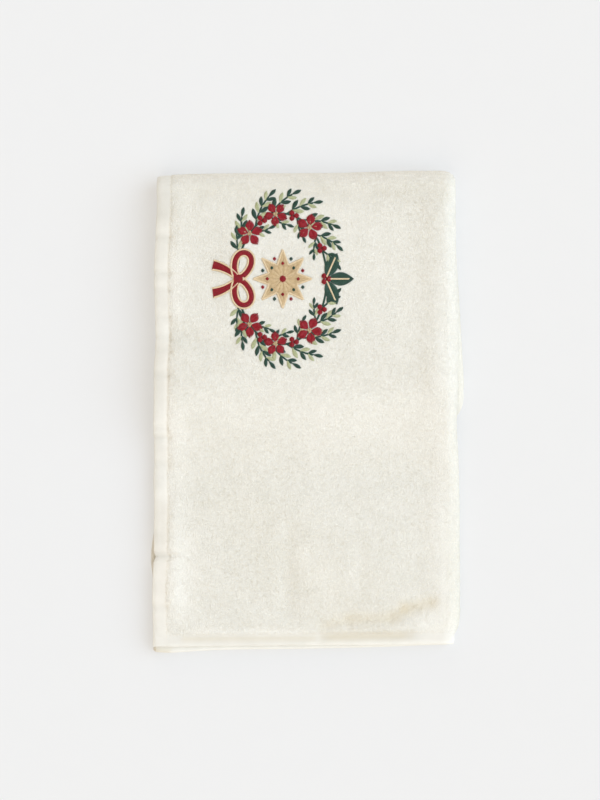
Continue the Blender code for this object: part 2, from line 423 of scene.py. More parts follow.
def flat_rows(x, height, side):
    """Rows at places in one level. side is +1 where face A looks up."""
    count = len(x)
    return np.column_stack((x, np.full(count, height), np.zeros(count), np.full(count, side)))


def level(x0, x1, height, side, steps):
    """Rows of one level between two places, without the last one."""
    return flat_rows(x0 + (x1 - x0) * np.arange(steps) / steps, height, side)


def fold(centre, low, high, reach, outside, steps):
    """Rows of a fold, from the level at low to the one at high. outside is +1 when face A is outside."""
    angle = math.pi * np.arange(steps) / steps
    half = (high - low) / 2
    x = reach * np.sin(angle)
    height = -half * np.cos(angle)
    normal = np.stack((x / reach**2, height / half**2), axis=1)
    normal *= outside / np.linalg.norm(normal, axis=1, keepdims=True)
    return np.column_stack((centre + x, (low + high) / 2 + height, normal))


def section(hem, lower_hem, narrow, round_out):
    """The cloth's middle line across the stack: rows of x, height and the direction of face A.

    It starts at the hem of the top level and ends at the hem of level 3.
    """
    radius = LEVEL_PITCH / 2
    bend = round_out - ROUND_FOLD_REACH - CLOTH_THICK / 2
    inner = bend + INNER_FOLD_SHIFT
    crease = narrow + radius + CLOTH_THICK / 2
    distances = hem_distances(END_HEM)
    first = flat_rows(hem + distances, LEVEL_4, 1.0)
    last = flat_rows(lower_hem + distances[::-1], LEVEL_3, -1.0)
    return np.concatenate(
        (
            first[:-1],
            level(first[-1, 0], bend, LEVEL_4, 1.0, TOP_LEVEL_STEPS),
            fold(bend, LEVEL_4, LEVEL_1, ROUND_FOLD_REACH, 1.0, ROUND_FOLD_STEPS),
            level(bend, crease, LEVEL_1, -1.0, LEVEL_STEPS),
            fold(crease, LEVEL_1, LEVEL_2, -radius, 1.0, NARROW_FOLD_STEPS),
            level(crease, inner, LEVEL_2, 1.0, LEVEL_STEPS),
            fold(inner, LEVEL_2, LEVEL_3, radius, -1.0, NARROW_FOLD_STEPS),
            level(inner, last[0, 0], LEVEL_3, -1.0, LEVEL_STEPS),
            last,
        )
    )


# ---- sweeping it across the width
# A step across the towel's width: which panel, and how far along it or from its hem
Station = namedtuple("Station", "panel fraction from_hem")


def stations():
    hem = hem_distances(SIDE_HEM)
    steps = [Station("near", 0.0, distance) for distance in hem[:-1]]
    steps += [Station("near", i / NEAR_STEPS, hem[-1]) for i in range(NEAR_STEPS)]
    steps += [Station("turn", i / TURN_STEPS, None) for i in range(TURN_STEPS)]
    steps += [Station("under", i / UNDER_STEPS, None) for i in range(UNDER_STEPS)]
    steps += [Station("ramp", i / RAMP_STEPS, hem[-1]) for i in range(RAMP_STEPS)]
    steps += [Station("ramp", 1.0, distance) for distance in hem[::-1]]
    return steps


def near_place(x, height, station):
    """Y and Z of the upper panel, which slopes down from the turned-under end, and its up direction."""
    first = near_edge(x, height) + station.from_hem
    y = first + (turn_axis(x) - first) * station.fraction
    drop = blend((under_edge(x, LEVEL_4) - y) / SLOPE_LENGTH)
    z = height + RAISED * (1.0 - drop) + swell(x, y) * top_share(height)
    return y, z, (0.0, 1.0)


def turned_place(x, height, station):
    """Y and Z in the turn itself, a half circle about its axis."""
    angle = math.pi * station.fraction
    up = (math.sin(angle), math.cos(angle))
    radius = TURN_RADIUS + height
    return turn_axis(x) + radius * up[0], TURN_HEIGHT + radius * up[1], up


def under_place(x, height, station):
    """Y and Z of the turned-under panel, whose levels end in steps and sink onto the surface."""
    edge = under_edge(x, height)
    axis = turn_axis(x)
    ramp = math.pi * (LEVEL_4 - height)
    hem_end = hem_distances(SIDE_HEM)[-1]
    flat_end = np.maximum(ramp, hem_end + SIDE_HEM.shoulder)
    if station.panel == "under":
        y = axis + (edge + flat_end - axis) * station.fraction
    else:
        y = edge + flat_end + (station.from_hem - flat_end) * station.fraction
        if station.fraction == 1.0:
            y = edge + station.from_hem
    sunk = np.maximum(ramp - (y - edge), 0.0) / math.pi
    return y, STACK_HEIGHT - height - sunk, (0.0, -1.0)


PLACES = {"near": near_place, "turn": turned_place, "under": under_place, "ramp": under_place}


def side_places(station):
    """Where the hem, the lower hem, the narrow fold and the round fold lie at a station."""
    axis = float(turn_axis(0.0))
    y = axis
    distance = 0.0
    if station.panel == "near":
        y = float(near_place(0.0, LEVEL_4, station)[0])
    if station.panel in ("under", "ramp"):
        distance = axis - float(under_place(0.0, LEVEL_4, station)[0])
    hem, narrow, out = (float(read(SIDES, "y", name, y)) for name in ("hem", "narrow_fold", "round_fold"))
    top_hem = float(hem_edge(y)) if station.panel == "near" else hem
    inset = float(read(UNDER_SIDES, "distance", "hem_in", distance))
    out += float(read(UNDER_SIDES, "distance", "round_fold_out", distance))
    return top_hem + inset, hem + inset + LOWER_HEM_INSET, narrow + inset, out


def end_distances(count, distances):
    """Distance of each point of a row from the nearer hemmed end of the cloth."""
    near = np.full(count, END_HEM.width + 2 * END_HEM.shoulder)
    near[: len(distances)] = distances
    near[-len(distances) :] = np.minimum(near[-len(distances) :], distances[::-1])
    return near


def seam_shade(distance, hem, pull):
    """Shade that gathers in the groove of a hem where the sewing pulls."""
    return SEAM_SHADE * pull * bell((distance - hem.width) / hem.groove_width)


def cloth_faces():
    """Faces A and B of the cloth, as arrays of stations by points, with what holds at each of them.

    That is how far in the pile stands, from 0 on a bare hem to 1, how much light or shade is painted on the
    cloth and how warm the painted shade on it is.
    """
    rows = {"a": [], "b": [], "pile": [], "light": [], "light_below": [], "crease": [], "crease_below": []}
    steps = stations()
    hem = hem_distances(SIDE_HEM)
    last = len(steps) - 1
    for index, station in enumerate(steps):
        line = section(*side_places(station))
        x, height = line[:, 0], line[:, 1]
        y, z, up = PLACES[station.panel](x, height, station)
        from_end = end_distances(len(x), hem_distances(END_HEM))
        end_pull = pulled(END_PULLS, y)
        in_from_side = hem[min(index, last - index, len(hem) - 1)]
        side_share = hem_thickness(in_from_side, SIDE_HEM, pulled(SIDE_PULLS, x, SIDE_UNEVENNESS))
        share = np.minimum(hem_thickness(from_end, END_HEM, end_pull), side_share)
        offset = np.stack((line[:, 2], line[:, 3] * up[0], line[:, 3] * up[1]), axis=1)
        offset *= (CLOTH_THICK / 2 * share)[:, None]
        middle = np.stack((x, y, z), axis=1)
        rows["a"].append(middle + offset)
        rows["b"].append(middle - offset)
        end_pile = blend((from_end - END_HEM.bare) / PILE_START + 0.5)
        side_pile = blend((in_from_side - SIDE_HEM.bare) / PILE_START + 0.5)
        rows["pile"].append(np.minimum(end_pile, side_pile))
        on_top = top_share(height) * (station.panel in ("near", "turn"))
        # Painted light and shade, and painted warm shade: the marks' own, the puckers' and the seams'
        light_below = marked(PAINTED_LIGHT_AND_SHADE_BELOW, x, y)
        crease_below = marked(PAINTED_WARM_SHADE_BELOW, x, y)
        light = marked(PAINTED_LIGHT_AND_SHADE, x, y) + pucker_light(x, y)
        crease = marked(PAINTED_WARM_SHADE, x, y) + seam_shade(from_end, END_HEM, end_pull)
        rows["light"].append(light * on_top + light_below * (1.0 - on_top))
        rows["crease"].append(crease * on_top + crease_below * (1.0 - on_top))
        rows["light_below"].append(light_below)
        rows["crease_below"].append(crease_below)
    return {name: np.array(values) for name, values in rows.items()}


def centring(places):
    """Shift that brings the bottom centre of the places' box to the origin."""
    low = places.reshape(-1, 3).min(axis=0)
    high = places.reshape(-1, 3).max(axis=0)
    return -np.array(((low[0] + high[0]) / 2, (low[1] + high[1]) / 2, low[2]))


# ---- the cloth's mesh
def grid_quads(count_s, count_p, first):
    """Quads of a grid of stations by points whose corners start at an index."""
    s, p = np.meshgrid(np.arange(count_s - 1), np.arange(count_p - 1), indexing="ij")
    corner = (first + s * count_p + p).ravel()
    return np.stack((corner, corner + 1, corner + count_p + 1, corner + count_p), axis=1)


def strip_quads(line_a, line_b):
    """Quads of the rim between two lines of corners."""
    return np.stack((line_a[:-1], line_b[:-1], line_b[1:], line_a[1:]), axis=1)


def cloth_quads(count_s, count_p):
    """Face A, face B turned over, and the four rims that close them."""
    half = count_s * count_p
    a = np.arange(half).reshape(count_s, count_p)
    b = a + half
    return np.concatenate(
        (
            grid_quads(count_s, count_p, 0),
            grid_quads(count_s, count_p, half)[:, ::-1],
            strip_quads(a[0], b[0]),
            strip_quads(a[-1], b[-1])[:, ::-1],
            strip_quads(a[:, 0], b[:, 0])[:, ::-1],
            strip_quads(a[:, -1], b[:, -1]),
        )
    )


def arc_length(places):
    """Distance of each place along a line of them."""
    steps = np.linalg.norm(np.diff(places, axis=0), axis=1)
    return np.concatenate(((0.0,), np.cumsum(steps)))


def set_attribute(mesh, name, kind, values):
    """Stores one value for each vertex of a mesh."""
    layer = mesh.attributes.new(name, kind, "POINT")
    field = "vector" if kind == "FLOAT_VECTOR" else "value"
    layer.data.foreach_set(field, np.asarray(values, np.float32).ravel())


def set_cloth_uv(mesh, along, across):
    """UV map in metres of cloth: its length along U and its width along V, on both faces."""
    u, v = np.meshgrid(along, across)
    places = np.stack((u.ravel(), v.ravel()), axis=1)
    places = np.concatenate((places, places))
    corners = np.empty(len(mesh.loops), np.int32)
    mesh.loops.foreach_get("vertex_index", corners)
    layer = mesh.uv_layers.new(name="cloth")
    layer.uv.foreach_set("vector", places[corners].astype(np.float32).ravel())


def new_object(name, mesh):
    thing = bpy.data.objects.new(name, mesh)
    bpy.context.scene.collection.objects.link(thing)
    return thing


def grown_shares(faces):
    """Where pile grows on face A, for each piece of it: not where the towel lies on the surface."""
    count_s, count_p = faces["pile"].shape
    panel = np.array([station.panel for station in stations()])
    top_end = len(hem_distances(END_HEM)) - 1 + TOP_LEVEL_STEPS
    round_end = top_end + ROUND_FOLD_STEPS
    narrow_start = round_end + LEVEL_STEPS
    narrow_end = narrow_start + NARROW_FOLD_STEPS
    points = np.arange(count_p)
    on_top = (points <= top_end)[None, :]
    on_round_fold = (points > top_end) & (points < round_end)
    on_narrow_fold = (points >= narrow_start) & (points < narrow_end)
    on_folds = (on_round_fold | on_narrow_fold)[None, :]
    turn_end = int(np.argmax(panel == "turn")) + TURN_STEPS
    row = np.arange(count_s)[:, None]
    cut = int(count_s * NEAR_SHARE)
    clear_of_surface = blend((faces["a"][:, :, 2] - PILE_CLEARANCE) / PILE_FADE)
    return {
        "pile_near": on_top & (row <= cut),
        "pile_far": (on_top & (row > cut) & (row <= turn_end)) * clear_of_surface,
        "pile_folds": on_folds * clear_of_surface,
    }


def make_cloth():
    faces = cloth_faces()
    shift = centring(np.concatenate((faces["a"], faces["b"])))
    count_s, count_p = faces["pile"].shape
    corners = np.concatenate((faces["a"].reshape(-1, 3), faces["b"].reshape(-1, 3))) + shift
    mesh = bpy.data.meshes.new("towel_cloth")
    mesh.from_pydata(corners.tolist(), [], cloth_quads(count_s, count_p).tolist())
    middle = (faces["a"] + faces["b"]) / 2
    set_cloth_uv(mesh, arc_length(middle[count_s // 4]), arc_length(middle[:, TOP_LEVEL_STEPS // 2]))
    nothing = np.zeros(count_s * count_p)
    for name, share in grown_shares(faces).items():
        set_attribute(mesh, name, "FLOAT", np.concatenate((share.ravel(), nothing)))
    set_attribute(mesh, "velour", "FLOAT", np.concatenate((faces["pile"], faces["pile"])))
    # Painted light and shade, above and below 0, stored for the materials
    set_attribute(mesh, "brushed", "FLOAT", np.concatenate((faces["light"], faces["light_below"])))
    # Painted warm shade, stored for the materials
    set_attribute(mesh, "creased", "FLOAT", np.concatenate((faces["crease"], faces["crease_below"])))
    mesh.shade_smooth()
    mesh.validate()
    faces["a"] = faces["a"] + shift
    faces["b"] = faces["b"] + shift
    return new_object("towel_cloth", mesh), faces, shift


# ---- node trees
def put(tree, kind, links=None, **settings):
    """Adds a node, with its settings, and links or sets its inputs."""
    made = tree.nodes.new(kind)
    for name, value in settings.items():
        setattr(made, name, value)
    for name, value in (links or {}).items():
        if isinstance(value, bpy.types.NodeSocket):
            tree.links.new(value, made.inputs[name])
        else:
            made.inputs[name].default_value = value
    return made


def new_tree(name, inputs):
    """A Geometry Nodes tree with named inputs, given as (name, socket kind, default) rows."""
    tree = bpy.data.node_groups.new(name, "GeometryNodeTree")
    tree.interface.new_socket("Geometry", in_out="INPUT", socket_type="NodeSocketGeometry")
    tree.interface.new_socket("Geometry", in_out="OUTPUT", socket_type="NodeSocketGeometry")
    for title, kind, default in inputs:
        socket = tree.interface.new_socket(title, in_out="INPUT", socket_type=kind)
        if default is not None:
            socket.default_value = default
    given = tree.nodes.new("NodeGroupInput").outputs
    return tree, given


def end_tree(tree, geometry, material):
    """Realizes what the tree has made, gives it its material and hands it out."""
    real = put(tree, "GeometryNodeRealizeInstances", {"Geometry": geometry})
    smooth = put(tree, "GeometryNodeSetShadeSmooth", {"Geometry": real.outputs[0]})
    painted = put(tree, "GeometryNodeSetMaterial", {"Geometry": smooth.outputs[0], "Material": material})
    put(tree, "NodeGroupOutput", {"Geometry": painted.outputs[0]})


def math_node(tree, operation, first, second=0.0):
    return put(tree, "ShaderNodeMath", {0: first, 1: second}, operation=operation).outputs[0]


def product(tree, value, *factors):
    for factor in factors:
        value = math_node(tree, "MULTIPLY", value, factor)
    return value


def total(tree, value, *others):
    for other in others:
        value = math_node(tree, "ADD", value, other)
    return value


def vector_node(tree, operation, first, second):
    return put(tree, "ShaderNodeVectorMath", {0: first, 1: second}, operation=operation).outputs[0]


def scaled(tree, vector, scale):
    return put(tree, "ShaderNodeVectorMath", {0: vector, "Scale": scale}, operation="SCALE").outputs[0]


def random_number(tree, low, high, seed):
    """A number between two limits, another one for each point."""
    return put(tree, "FunctionNodeRandomValue", {2: low, 3: high, "Seed": seed}, data_type="FLOAT").outputs[1]


def random_vector(tree, reach, seed):
    """A vector whose parts lie between -reach and reach, another one for each point."""
    limits = {0: (-reach,) * 3, 1: (reach,) * 3, "Seed": seed}
    return put(tree, "FunctionNodeRandomValue", limits, data_type="FLOAT_VECTOR").outputs[0]


def noise(tree, vector, scale, detail, roughness=0.5):
    settings = {"Vector": vector, "Scale": scale, "Detail": detail, "Roughness": roughness}
    return put(tree, "ShaderNodeTexNoise", settings)


def named(tree, name, kind):
    """Reads an attribute of the geometry. name is text or a socket that holds it."""
    return put(tree, "GeometryNodeInputNamedAttribute", {"Name": name}, data_type=kind).outputs["Attribute"]


def grow(name, mesh, tree, values):
    """Runs a tree on a mesh, with its inputs set by name, and keeps the result as a plain mesh object."""
    thing = new_object(name, mesh)
    modifier = thing.modifiers.new(tree.name, "NODES")
    modifier.node_group = tree
    keys = {item.name: item.identifier for item in tree.interface.items_tree if item.in_out == "INPUT"}
    for title, value in values.items():
        modifier[keys[title]] = value
    graph = bpy.context.evaluated_depsgraph_get()
    plain = bpy.data.meshes.new_from_object(thing.evaluated_get(graph))
    thing.modifiers.remove(modifier)
    thing.data = plain
    plain.name = name
    return thing


# ---- the pile
PILE_SPACING = 0.00047
PILE_DENSITY = 6.0e6
TUFT_RADIUS = 0.00048
TUFT_HEIGHT = 0.00045
TUFT_LEAN = 0.16
TUFT_JITTER = 0.24
LUMPINESS = 1.0
LUMP_SCALE = 420.0
RAGGED_EDGE = 1.2
CLUMP_SCALE = 800.0
THREAD_CLEARANCE = 0.00045
TUFT_SIDES = 3
TUFT_SMALLEST = 0.75
TUFT_LARGEST = 1.2
NOISE_REACH = 4.0
PILE_SEED = 11


def pile_tree():
    """Sheared tufts scattered over the cloth: they lean in clumps and keep clear of the embroidery."""
    tree, given = new_tree(
        "sheared pile",
        (
            ("Stitch Lines", "NodeSocketObject", None),
            ("Grown On", "NodeSocketString", "pile_near"),
            ("Spacing", "NodeSocketFloat", PILE_SPACING),
            ("Density", "NodeSocketFloat", PILE_DENSITY),
            ("Tuft Radius", "NodeSocketFloat", TUFT_RADIUS),
            ("Tuft Height", "NodeSocketFloat", TUFT_HEIGHT),
            ("Lean", "NodeSocketFloat", TUFT_LEAN),
            ("Jitter", "NodeSocketFloat", TUFT_JITTER),
            ("Clump Scale", "NodeSocketFloat", CLUMP_SCALE),
            ("Lumpiness", "NodeSocketFloat", LUMPINESS),
            ("Lump Scale", "NodeSocketFloat", LUMP_SCALE),
            ("Ragged Edge", "NodeSocketFloat", RAGGED_EDGE),
            ("Clearance", "NodeSocketFloat", THREAD_CLEARANCE),
            ("Seed", "NodeSocketInt", PILE_SEED),
            ("Material", "NodeSocketMaterial", None),
        ),
    )
    scatter = {"Mesh": given["Geometry"], "Distance Min": given["Spacing"], "Density Max": given["Density"]}
    scatter["Seed"] = given["Seed"]
    scattered = put(tree, "GeometryNodeDistributePointsOnFaces", scatter, distribute_method="POISSON")
    stitches = put(tree, "GeometryNodeObjectInfo", {"Object": given["Stitch Lines"]}).outputs["Geometry"]
    nearest = put(tree, "GeometryNodeProximity", {0: stitches}, target_element="EDGES").outputs["Distance"]
    under_thread = math_node(tree, "LESS_THAN", nearest, given["Clearance"])
    outside = math_node(tree, "LESS_THAN", named(tree, given["Grown On"], "FLOAT"), 0.5)
    place = put(tree, "GeometryNodeInputPosition").outputs[0]
    clump = noise(tree, place, given["Clump Scale"], 2.0)
    ragged = product(tree, math_node(tree, "SUBTRACT", clump.outputs["Fac"], 0.5), given["Ragged Edge"])
    on_hem = math_node(tree, "LESS_THAN", total(tree, named(tree, "velour", "FLOAT"), ragged), 0.5)
    bare = math_node(tree, "MAXIMUM", math_node(tree, "MAXIMUM", under_thread, outside), on_hem)
    unwanted = {"Geometry": scattered.outputs["Points"], "Selection": bare}
    kept = put(tree, "GeometryNodeDeleteGeometry", unwanted, domain="POINT")
    lean = vector_node(tree, "SUBTRACT", clump.outputs["Color"], (0.5, 0.5, 0.5))
    lean = scaled(tree, lean, product(tree, given["Lean"], NOISE_REACH))
    stray = scaled(tree, random_vector(tree, 0.5, given["Seed"]), given["Jitter"])
    up = vector_node(tree, "ADD", vector_node(tree, "ADD", scattered.outputs["Normal"], lean), stray)
    aim = put(tree, "FunctionNodeAlignRotationToVector", {"Vector": up}, axis="Z")
    spin = random_number(tree, 0.0, 2.0 * math.pi, given["Seed"])
    twist = put(tree, "ShaderNodeCombineXYZ", {"Z": spin}).outputs[0]
    twisted = {"Rotation": aim.outputs[0], "Rotate By": twist}
    turned = put(tree, "FunctionNodeRotateRotation", twisted, rotation_space="LOCAL")
    cone = {"Vertices": TUFT_SIDES, "Radius Top": 0.0, "Radius Bottom": given["Tuft Radius"]}
    cone["Depth"] = given["Tuft Height"]
    tuft = put(tree, "GeometryNodeMeshCone", cone, fill_type="NONE")
    size = random_number(tree, TUFT_SMALLEST, TUFT_LARGEST, total(tree, given["Seed"], 1.0))
    lump = math_node(tree, "SUBTRACT", noise(tree, place, given["Lump Scale"], 1.0).outputs["Fac"], 0.5)
    lump = total(tree, product(tree, lump, given["Lumpiness"]), 1.0)
    planted = {"Points": kept.outputs[0], "Instance": tuft.outputs["Mesh"], "Rotation": turned.outputs[0]}
    planted["Scale"] = product(tree, size, lump)
    tufts = put(tree, "GeometryNodeInstanceOnPoints", planted)
    end_tree(tree, tufts.outputs[0], given["Material"])
    return tree


# ---- threads
THREAD_WIDTH = 0.00042
THREAD_POINTS = 5
THREAD_SIDES = 4
ARCH_FULLNESS = 0.6


def thread_tree():
    """Lays a thread along every edge of a mesh: it arches up along "out" by "arch" and dives at its ends."""
    tree, given = new_tree(
        "laid thread",
        (
            ("Thread Width", "NodeSocketFloat", THREAD_WIDTH),
            ("Points", "NodeSocketInt", THREAD_POINTS),
            ("Sides", "NodeSocketInt", THREAD_SIDES),
            ("Material", "NodeSocketMaterial", None),
        ),
    )
    lines = put(tree, "GeometryNodeMeshToCurve", {"Mesh": given["Geometry"]})
    spaced = put(tree, "GeometryNodeResampleCurve", {"Curve": lines.outputs[0], "Count": given["Points"]})
    along = put(tree, "GeometryNodeSplineParameter").outputs["Factor"]
    rise = product(tree, along, math_node(tree, "SUBTRACT", 1.0, along), 4.0)
    rise = product(tree, math_node(tree, "POWER", rise, ARCH_FULLNESS), named(tree, "arch", "FLOAT"))
    offset = scaled(tree, named(tree, "out", "FLOAT_VECTOR"), rise)
    arched = put(tree, "GeometryNodeSetPosition", {"Geometry": spaced.outputs[0], "Offset": offset})
    radius = product(tree, given["Thread Width"], 0.5)
    profile = put(tree, "GeometryNodeCurvePrimitiveCircle", {"Resolution": given["Sides"], "Radius": radius})
    tube = {"Curve": arched.outputs[0], "Profile Curve": profile.outputs[0], "Fill Caps": True}
    thread = put(tree, "GeometryNodeCurveToMesh", tube)
    end_tree(tree, thread.outputs[0], given["Material"])
    return tree


SEAM_PITCH = 0.0026
SEAM_STITCH = (0.00100, 0.00021, 0.00017)
BALL_SEGMENTS = 6
BALL_RINGS = 5
END_SEAM_SINK = 0.00008
SIDE_SEAM_SINK = 0.00030


def seam_tree():
    """Sews a line of lockstitches along the edges of a mesh, each stitch lying across "out"."""
    tree, given = new_tree(
        "lockstitch seam",
        (
            ("Pitch", "NodeSocketFloat", SEAM_PITCH),
            ("Stitch Size", "NodeSocketVector", SEAM_STITCH),
            ("Material", "NodeSocketMaterial", None),
        ),
    )
    lines = put(tree, "GeometryNodeMeshToCurve", {"Mesh": given["Geometry"]})
    along_line = {"Curve": lines.outputs[0], "Length": given["Pitch"]}
    spaced = put(tree, "GeometryNodeCurveToPoints", along_line, mode="LENGTH")
    tangent = {"Vector": spaced.outputs["Tangent"]}
    along = put(tree, "FunctionNodeAlignRotationToVector", tangent, axis="X")
    outward = {"Rotation": along.outputs[0], "Vector": named(tree, "out", "FLOAT_VECTOR")}
    facing = put(tree, "FunctionNodeAlignRotationToVector", outward, axis="Z", pivot_axis="X")
    round_size = {"Segments": BALL_SEGMENTS, "Rings": BALL_RINGS, "Radius": 1.0}
    ball = put(tree, "GeometryNodeMeshUVSphere", round_size)
    sewn = {"Points": spaced.outputs["Points"], "Instance": ball.outputs["Mesh"]}
    sewn.update({"Rotation": facing.outputs[0], "Scale": given["Stitch Size"]})
    stitches = put(tree, "GeometryNodeInstanceOnPoints", sewn)
    end_tree(tree, stitches.outputs[0], given["Material"])
    return tree


# ---- the embroidery, stitch by stitch
# The design is drawn upright, in mm from its own centre. On the towel its right is -Y and its up is +X.
DESIGN_CENTRE = (-14.5, 77.3)
STITCH_PITCH = 0.40
SHORTEST_STITCH = 0.3
STITCH_SLANT = 1.1
THREADS = ("green_thread", "sage_thread", "red_thread", "tan_thread", "cream_thread")
GREEN, SAGE, RED, TAN, CREAM = THREADS
# How high a stitch arches: in a stem, in satin and in padded satin
STEM_ARCH = 0.25
SATIN_ARCH = 0.34
RAISED_ARCH = 0.55
# How high each part of the design lies over the cloth, so that what is sewn later crosses over it
LIFTS = {
    "sprig leaf": 0.1,
    "crown leaf": 0.25,
    "crown vein": 0.6,
    "star": 0.1,
    "star edge": 0.35,
    "star heart": 0.5,
    "outer dot": 0.1,
    "inner dot": 0.45,
    "petal": 0.3,
    "flower heart": 0.7,
    "berry": 0.45,
    "bow tail": 0.1,
    "bow loop": 0.25,
    "bow knot": 0.6,
    "ribbon edge": 0.25,
}

Stitch = namedtuple("Stitch", "thread start end arch lift")


def heading(angle):
    """Unit vector at an angle in degrees, counted from the right."""
    return np.array((math.cos(math.radians(angle)), math.sin(math.radians(angle))))


def curved_line(start, angle, length, bend):
    """Points a stitch apart along a line that sets out at an angle and turns by bend on its way."""
    count = max(int(round(length / STITCH_PITCH)), 3)
    share = (np.arange(count) + 0.5) / count
    angles = np.radians(angle + bend * share)
    steps = np.stack((np.cos(angles), np.sin(angles)), axis=1) * length / count
    return np.concatenate(((start,), start + np.cumsum(steps, axis=0)))


def at_distances(at, distance, points):
    """Places read at distances along a line of points."""
    return np.stack([np.interp(at, distance, points[:, axis]) for axis in (0, 1)], axis=1)


def even_line(points):
    """The same line with its points a stitch apart."""
    distance = arc_length(points)
    count = max(int(round(distance[-1] / STITCH_PITCH)), 3)
    return at_distances(np.linspace(0.0, distance[-1], count + 1), distance, points)


def leftward(line):
    """Unit vectors that point left of a line, at each of its points."""
    tangent = np.gradient(line, arc_length(line), axis=0)
    tangent /= np.linalg.norm(tangent, axis=1, keepdims=True)
    return np.stack((-tangent[:, 1], tangent[:, 0]), axis=1)


def satin(thread, line, left, right, slant=0.0, arch=SATIN_ARCH, lift=0.0):
    """Stitches across a line, from left of it to right of it. slant is how far ahead their left end lies."""
    distance = arc_length(line)
    left_edge = line + leftward(line) * np.broadcast_to(left, distance.shape)[:, None]
    right_edge = line - leftward(line) * np.broadcast_to(right, distance.shape)[:, None]
    ahead = np.clip(distance + slant / 2, 0.0, distance[-1])
    behind = np.clip(distance - slant / 2, 0.0, distance[-1])
    starts = at_distances(ahead, distance, left_edge)
    ends = at_distances(behind, distance, right_edge)
    stitches = []
    for start, end in zip(starts, ends):
        if np.linalg.norm(end - start) > SHORTEST_STITCH:
            stitches.append(Stitch(thread, start, end, arch, lift))
    return stitches


def split_satin(thread, line, half, slant, lift):
    """Two rows of satin that meet along a line, slanting away from it."""
    left = satin(thread, line, half, 0.0, slant, lift=lift)
    return left + satin(thread, line, 0.0, half, -slant, lift=lift)


def stem(thread, line, width, lift=0.0):
    return satin(thread, line, width / 2, width / 2, STITCH_SLANT, arch=STEM_ARCH, lift=lift)


# Leaves. How full their blade is, how a vein slants its stitches, by the width, and where they are fullest
BLADE_FULLNESS = 0.85
VEIN_SLANT = 0.6
LEAF_FULLEST = 0.58
# Leaves of a sprig: how they stand off its stem and curl back, in degrees, and their width by the length
LEAF_LEAN = 44.0
LEAF_BEND = 20.0
LEAF_WIDTH = 0.36
# Length of a sprig's lowest leaf, of the one at its tip and what is lost up to it, by the leaf length
LOW_LEAF = 1.1
LEAF_LOSS = 0.35
TIP_LEAF = 0.85
# Where the first pair sits, and what is left past the last one, in spaces between pairs
FIRST_PAIR = 0.9
PAST_PAIRS = 0.5
SPRIG_STEM = 0.8


def blade(line, width, fullest):
    """Half widths along a leaf or petal that is fullest at a share of its length."""
    share = np.linspace(0.0, 1.0, len(line))
    bulge = share ** (math.log(0.5) / math.log(fullest))
    return width / 2 * np.sin(math.pi * bulge) ** BLADE_FULLNESS


def leaf(thread, start, angle, length, bend=0.0):
    """A small leaf of a sprig: one row of slanted satin."""
    line = curved_line(start, angle, length, bend)
    half = blade(line, length * LEAF_WIDTH, LEAF_FULLEST)
    return satin(thread, line, half, half, STITCH_SLANT, lift=LIFTS["sprig leaf"])


def veined_leaf(thread, start, angle, length, width, fullest, lift):
    """A broad leaf or petal: two rows of satin that meet along its vein."""
    line = curved_line(start, angle, length, 0.0)
    return split_satin(thread, line, blade(line, width, fullest), width * VEIN_SLANT, lift)


def sprig(start, angle, length, bend, pairs, leaf_length):
    """A green stem with leaves in pairs, green and sage in turn, that get smaller to its tip."""
    line = curved_line(start, angle, length, bend)
    stitches = stem(GREEN, line, SPRIG_STEM)
    for pair in range(pairs):
        share = (pair + FIRST_PAIR) / (pairs + PAST_PAIRS)
        node = line[int(share * (len(line) - 1))]
        size = leaf_length * (LOW_LEAF - LEAF_LOSS * share)
        left_thread, right_thread = (GREEN, SAGE) if pair % 2 == 0 else (SAGE, GREEN)
        for side, thread in ((1, left_thread), (-1, right_thread)):
            away = angle + bend * share + side * LEAF_LEAN
            stitches += leaf(thread, node, away, size, -LEAF_BEND * side)
    return stitches + leaf(GREEN, line[-1], angle + bend, leaf_length * TIP_LEAF)


# How far a knot's first and last stitch sit from its centre, by its radius
KNOT_REACH = 0.96


def knot(thread, centre, radius, lift):
    """A round padded dot of satin."""
    reach = radius * KNOT_REACH
    line = curved_line(np.array(centre) - (reach, 0.0), 0.0, 2 * reach, 0.0)
    half = np.sqrt(radius**2 - (line[:, 0] - centre[0]) ** 2)
    return satin(thread, line, half, half, arch=RAISED_ARCH, lift=lift)


# Petals, by the flower's radius: where they start, their length and width, and where they are fullest
PETALS = 5
PETAL_START = 0.16
PETAL_LENGTH = 0.84
PETAL_WIDTH = 0.62
PETAL_FULLEST = 0.55
# The three knots at a flower's heart: how far out they sit and their radius
HEART_OUT = 0.8
HEART_KNOT = 0.7
# How far out three berries sit, in their radius
BERRY_OUT = 1.25


def flower(centre, radius, turn):
    """A red flower of veined petals round a heart of tan knots."""
    stitches = []
    for petal in range(PETALS):
        angle = turn + 360.0 * petal / PETALS
        start = centre + heading(angle) * radius * PETAL_START
        length, width = radius * PETAL_LENGTH, radius * PETAL_WIDTH
        stitches += veined_leaf(RED, start, angle, length, width, PETAL_FULLEST, LIFTS["petal"])
    for dot in range(3):
        place = centre + heading(turn + 120.0 * dot) * HEART_OUT
        stitches += knot(TAN, place, HEART_KNOT, LIFTS["flower heart"])
    return stitches


def berries(centre, radius, turn):
    """Three red berries in a cluster."""
    stitches = []
    for berry in range(3):
        place = centre + heading(turn + 120.0 * berry) * radius * BERRY_OUT
        stitches += knot(RED, place, radius, LIFTS["berry"])
    return stitches


# The star: its rays, their reach and that of the corners between them, its slant and the width of its edge
STAR_CENTRE = np.array((0.0, 0.5))
STAR_RAYS = 8
STAR_REACH = 17.0
STAR_CORNER = 8.6
STAR_SLANT = 1.6
STAR_EDGE = 0.9
# Its knots: their radius, and how far out they sit
STAR_HEART = 1.8
OUTER_DOT = 0.9
OUTER_DOT_OUT = 12.6
INNER_DOT = 0.8
INNER_DOT_OUT = 9.0


